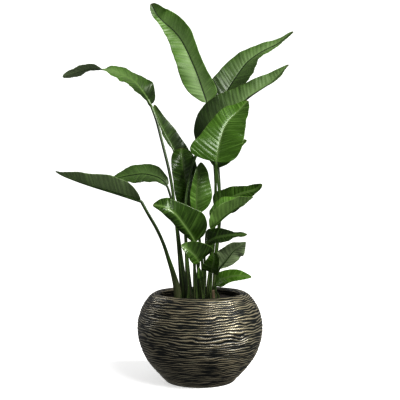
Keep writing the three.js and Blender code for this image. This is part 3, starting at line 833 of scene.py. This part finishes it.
class PlantColours(bpy.types.PropertyGroup):
    # Deep green also paints shade on leaves deep in the plant, and fresh green paints light on unlit tips.
    blade_deep_and_painted_shade: colour_property("Deep green", "Oldest and darkest part of a blade's upper side", (0.010, 0.023, 0.003))
    blade_fresh_and_painted_light: colour_property("Fresh green", "Youngest part of a blade's upper side", (0.085, 0.190, 0.018))
    blade_vein: colour_property("Vein", "Side veins on a blade's upper side", (0.19, 0.34, 0.075))
    # Waxy bloom, partly a painted sheen.
    blade_bloom_and_painted_sheen: colour_property("Bloom", "Pale waxy bloom on a blade", (0.26, 0.38, 0.16))
    blade_edge: colour_property("Margin", "Thin rim of a blade", (0.22, 0.30, 0.10))
    rib_top: colour_property("Rib, pale", "Channel over a pale middle rib", (0.24, 0.36, 0.12))
    # The dark rib colour is a painted shadow in the rib's channel.
    rib_channel_painted_shadow: colour_property("Rib, dark", "Channel over a dark middle rib", (0.006, 0.016, 0.003))
    under_deep: colour_property("Underside, dark", "Dark part of a blade's underside", (0.026, 0.050, 0.012))
    under_fresh: colour_property("Underside, fresh", "Fresh part of a blade's underside", (0.13, 0.24, 0.045))
    # Waxy bloom on the underside, partly a painted sheen.
    under_bloom_and_painted_sheen: colour_property("Underside, bloom", "Waxy bloom on a blade's underside", (0.26, 0.34, 0.18))
    glow: colour_property("Light let through", "Colour of light that passes a blade", (0.32, 0.50, 0.14))
    stalk_deep: colour_property("Stalk, dark", "Dark part of a stalk", (0.016, 0.036, 0.007))
    stalk_fresh: colour_property("Stalk, fresh", "Fresh part of a stalk", (0.100, 0.200, 0.028))
    stalk_pale: colour_property("Stalk channel", "Channel along a stalk", (0.20, 0.32, 0.08))
    sheath: colour_property("Sheath", "Papery part of a stalk's foot", (0.16, 0.13, 0.09))
    dry: colour_property("Dry", "Dry tips and husks", (0.12, 0.075, 0.035))
    glaze_bronze: colour_property("Glaze, bronze", "Crests of the pot's ripples", (0.42, 0.39, 0.27))
    glaze_brown: colour_property("Glaze, brown", "Browner crests of the pot's ripples", (0.26, 0.21, 0.135))
    glaze_green: colour_property("Glaze, green", "Green patina on the pot", (0.17, 0.21, 0.15))
    glaze_groove: colour_property("Glaze, groove", "Grooves between the pot's ripples", (0.0040, 0.0065, 0.0060))
    soil_dark: colour_property("Soil, dark", "Damp soil", (0.006, 0.0045, 0.0035))
    soil_light: colour_property("Soil, light", "Crumbs that have dried", (0.035, 0.024, 0.016))


class PlantSizes(bpy.types.PropertyGroup):
    ripple_pitch: bpy.props.FloatProperty(
        name="Ripple pitch", description="From one ripple of the pot to the next", unit="LENGTH", default=8.6 * MM
    )
    ripple_depth: bpy.props.FloatProperty(
        name="Ripple depth", description="Depth of the grooves in the pot", unit="LENGTH", default=3.0 * MM
    )
    pot_columns: bpy.props.IntProperty(name="Pot columns", description="Faces round the pot", min=48, default=330)


class StudioSettings(bpy.types.PropertyGroup):
    floor: colour_property("Floor", "Colour of the studio floor", (0.93, 0.93, 0.93))
    key: bpy.props.FloatProperty(name="Key light", description="Strength of the main light", min=0, default=2.6)
    fill: bpy.props.FloatProperty(name="Fill light", description="Strength of the light all round", min=0, default=0.21)
    camera_distance: bpy.props.FloatProperty(
        name="Camera distance", description="From the plant's axis", unit="LENGTH", default=2.318
    )
    camera_height: bpy.props.FloatProperty(
        name="Camera height", description="Above the floor", unit="LENGTH", default=0.60
    )
    field_of_view: bpy.props.FloatProperty(
        name="Field of view", description="Of the whole frame", subtype="ANGLE", default=2 * math.atan(200 / 690)
    )


# ---------------------------------------------------------------- operators
class PLANT_OT_leaves(bpy.types.Operator):
    """Builds every leaf, with its stalk, rib and pleated blade"""

    bl_idname = "plant.leaves"
    bl_label = "Leaves"

    def execute(self, context):
        colours = context.scene.plant_colours
        looks = stalk_material(colours), blade_material(colours), underside_material(colours)
        for seed, name in enumerate(LEAF_NAMES, 1):
            leaf = leaf_object(name, seed)
            give(leaf, *looks)
            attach(leaf, "root")
            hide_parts(f"leaf_{name}_stalk", f"leaf_{name}_blade")
        return {"FINISHED"}


class PLANT_OT_bare_stalks(bpy.types.Operator):
    """Builds the rolled young shoot and the dry foot of an old leaf"""

    bl_idname = "plant.bare_stalks"
    bl_label = "Bare stalks"

    def execute(self, context):
        colours = context.scene.plant_colours
        shoot = bare_stalk("young_shoot", 31, True)
        give(shoot, bpy.data.materials["stalk_skin"])
        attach(shoot, "root")
        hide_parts("young_shoot")
        husk = bare_stalk("old_sheath", 32, False)
        give(husk, husk_material(colours))
        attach(husk, "root")
        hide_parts("old_sheath")
        return {"FINISHED"}


class PLANT_OT_pot(bpy.types.Operator):
    """Builds the rippled pot"""

    bl_idname = "plant.pot"
    bl_label = "Pot"

    def execute(self, context):
        pot = pot_object(context.scene.plant_sizes)
        give(pot, glaze_material(context.scene.plant_colours))
        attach(pot, "root")
        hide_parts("pot")
        return {"FINISHED"}


class PLANT_OT_soil(bpy.types.Operator):
    """Builds the crumbly soil"""

    bl_idname = "plant.soil"
    bl_label = "Soil"

    def execute(self, context):
        soil = soil_object(context.scene.plant_sizes)
        give(soil, soil_material(context.scene.plant_colours))
        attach(soil, "root")
        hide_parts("soil")
        return {"FINISHED"}


def area_light(name, place, target, size, energy):
    data = bpy.data.lights.new(name, "AREA")
    data.shape = "RECTANGLE"
    data.size, data.size_y = size
    data.energy = energy
    light = bpy.data.objects.new(name, data)
    bpy.context.scene.collection.objects.link(light)
    light.location = place
    light.rotation_euler = (Vector(target) - Vector(place)).to_track_quat("-Z", "Y").to_euler()
    light.visible_camera = False


FLOOR_REACH = 9.0
FLOOR_HEIGHT = -0.5 * MM
BACKDROP = 1.05  # brightness of the backdrop to the camera alone
KEY_DIRECTION = (0.78, -0.25, 0.57)  # from the plant to the key light
KEY_SPREAD = math.radians(16)
AREA_LIGHTS = (  # name, place, target, size, watts
    ("front_right", (1.05, -1.7, 1.9), (0.0, 0.0, 0.5), (1.0, 0.9), 38.0),
    ("front_left", (-1.6, -1.7, 1.2), (0.0, 0.0, 0.6), (0.9, 0.9), 3.0),
    ("rim", (-1.6, 1.0, 1.5), (0.0, 0.0, 0.4), (0.5, 1.0), 7.0),
)


class PLANT_OT_stage(bpy.types.Operator):
    """Makes the floor, the lights and the camera"""

    bl_idname = "plant.stage"
    bl_label = "Stage"

    def execute(self, context):
        studio = context.scene.plant_studio
        signs = (-1, -1), (1, -1), (1, 1), (-1, 1)
        corners = [(x * FLOOR_REACH, y * FLOOR_REACH, FLOOR_HEIGHT) for x, y in signs]
        floor = mesh_object("studio_floor", corners, [[0, 1, 2, 3]])
        give(floor, floor_material(studio.floor))
        floor.visible_diffuse = False
        floor.visible_glossy = False

        context.scene.world = bpy.data.worlds.new("studio")
        sky = Shader("studio", context.scene.world)
        seen = sky.node("ShaderNodeLightPath", {}, {}, "Is Camera Ray")
        fill = studio.fill
        strength = fill + (BACKDROP - fill) * seen
        backdrop = sky.node("ShaderNodeBackground", {}, {"Color": (1, 1, 1, 1), "Strength": strength})
        sky.node("ShaderNodeOutputWorld", {}, {"Surface": backdrop})

        data = bpy.data.lights.new("key", "SUN")
        data.energy = studio.key
        data.angle = KEY_SPREAD
        data.color = (1.0, 0.985, 0.95)
        key = bpy.data.objects.new("key", data)
        context.scene.collection.objects.link(key)
        key.rotation_euler = Vector(KEY_DIRECTION).to_track_quat("Z", "Y").to_euler()
        for light in AREA_LIGHTS:
            area_light(*light)

        data = bpy.data.cameras.new("camera")
        data.sensor_width = 36.0
        data.lens = data.sensor_width / 2 / math.tan(studio.field_of_view / 2)
        camera = bpy.data.objects.new("camera", data)
        context.scene.collection.objects.link(camera)
        camera.location = (0.0, -studio.camera_distance, studio.camera_height)
        camera.rotation_euler = (math.pi / 2, 0.0, 0.0)
        context.scene.camera = camera
        context.scene.view_settings.view_transform = "Standard"
        context.scene.view_settings.exposure = 0.25
        context.scene.view_settings.gamma = 0.78
        return {"FINISHED"}


class PLANT_PT_panel(bpy.types.Panel):
    """Lists the plant's pieces and settings"""

    bl_label = "Potted bird of paradise"
    bl_space_type = "VIEW_3D"
    bl_region_type = "UI"
    bl_category = "Plant"

    def draw(self, context):
        for operator in OPERATORS:
            self.layout.operator(operator.bl_idname)
        for group in (context.scene.plant_sizes, context.scene.plant_studio, context.scene.plant_colours):
            box = self.layout.box()
            for key in group.__annotations__:
                box.prop(group, key)


OPERATORS = (PLANT_OT_leaves, PLANT_OT_bare_stalks, PLANT_OT_pot, PLANT_OT_soil, PLANT_OT_stage)
GROUPS = (
    ("plant_colours", PlantColours),
    ("plant_sizes", PlantSizes),
    ("plant_studio", StudioSettings),
)


def register():
    for name, group in GROUPS:
        bpy.utils.register_class(group)
        setattr(bpy.types.Scene, name, bpy.props.PointerProperty(type=group))
    for cls in (*OPERATORS, PLANT_PT_panel):
        bpy.utils.register_class(cls)


def unregister():
    for cls in (PLANT_PT_panel, *reversed(OPERATORS)):
        bpy.utils.unregister_class(cls)
    for name, group in reversed(GROUPS):
        delattr(bpy.types.Scene, name)
        bpy.utils.unregister_class(group)


def main():
    register()
    bpy.ops.plant.leaves()
    bpy.ops.plant.bare_stalks()
    bpy.ops.plant.pot()
    bpy.ops.plant.soil()
    bpy.ops.plant.stage()


if __name__ == "__main__":
    main()
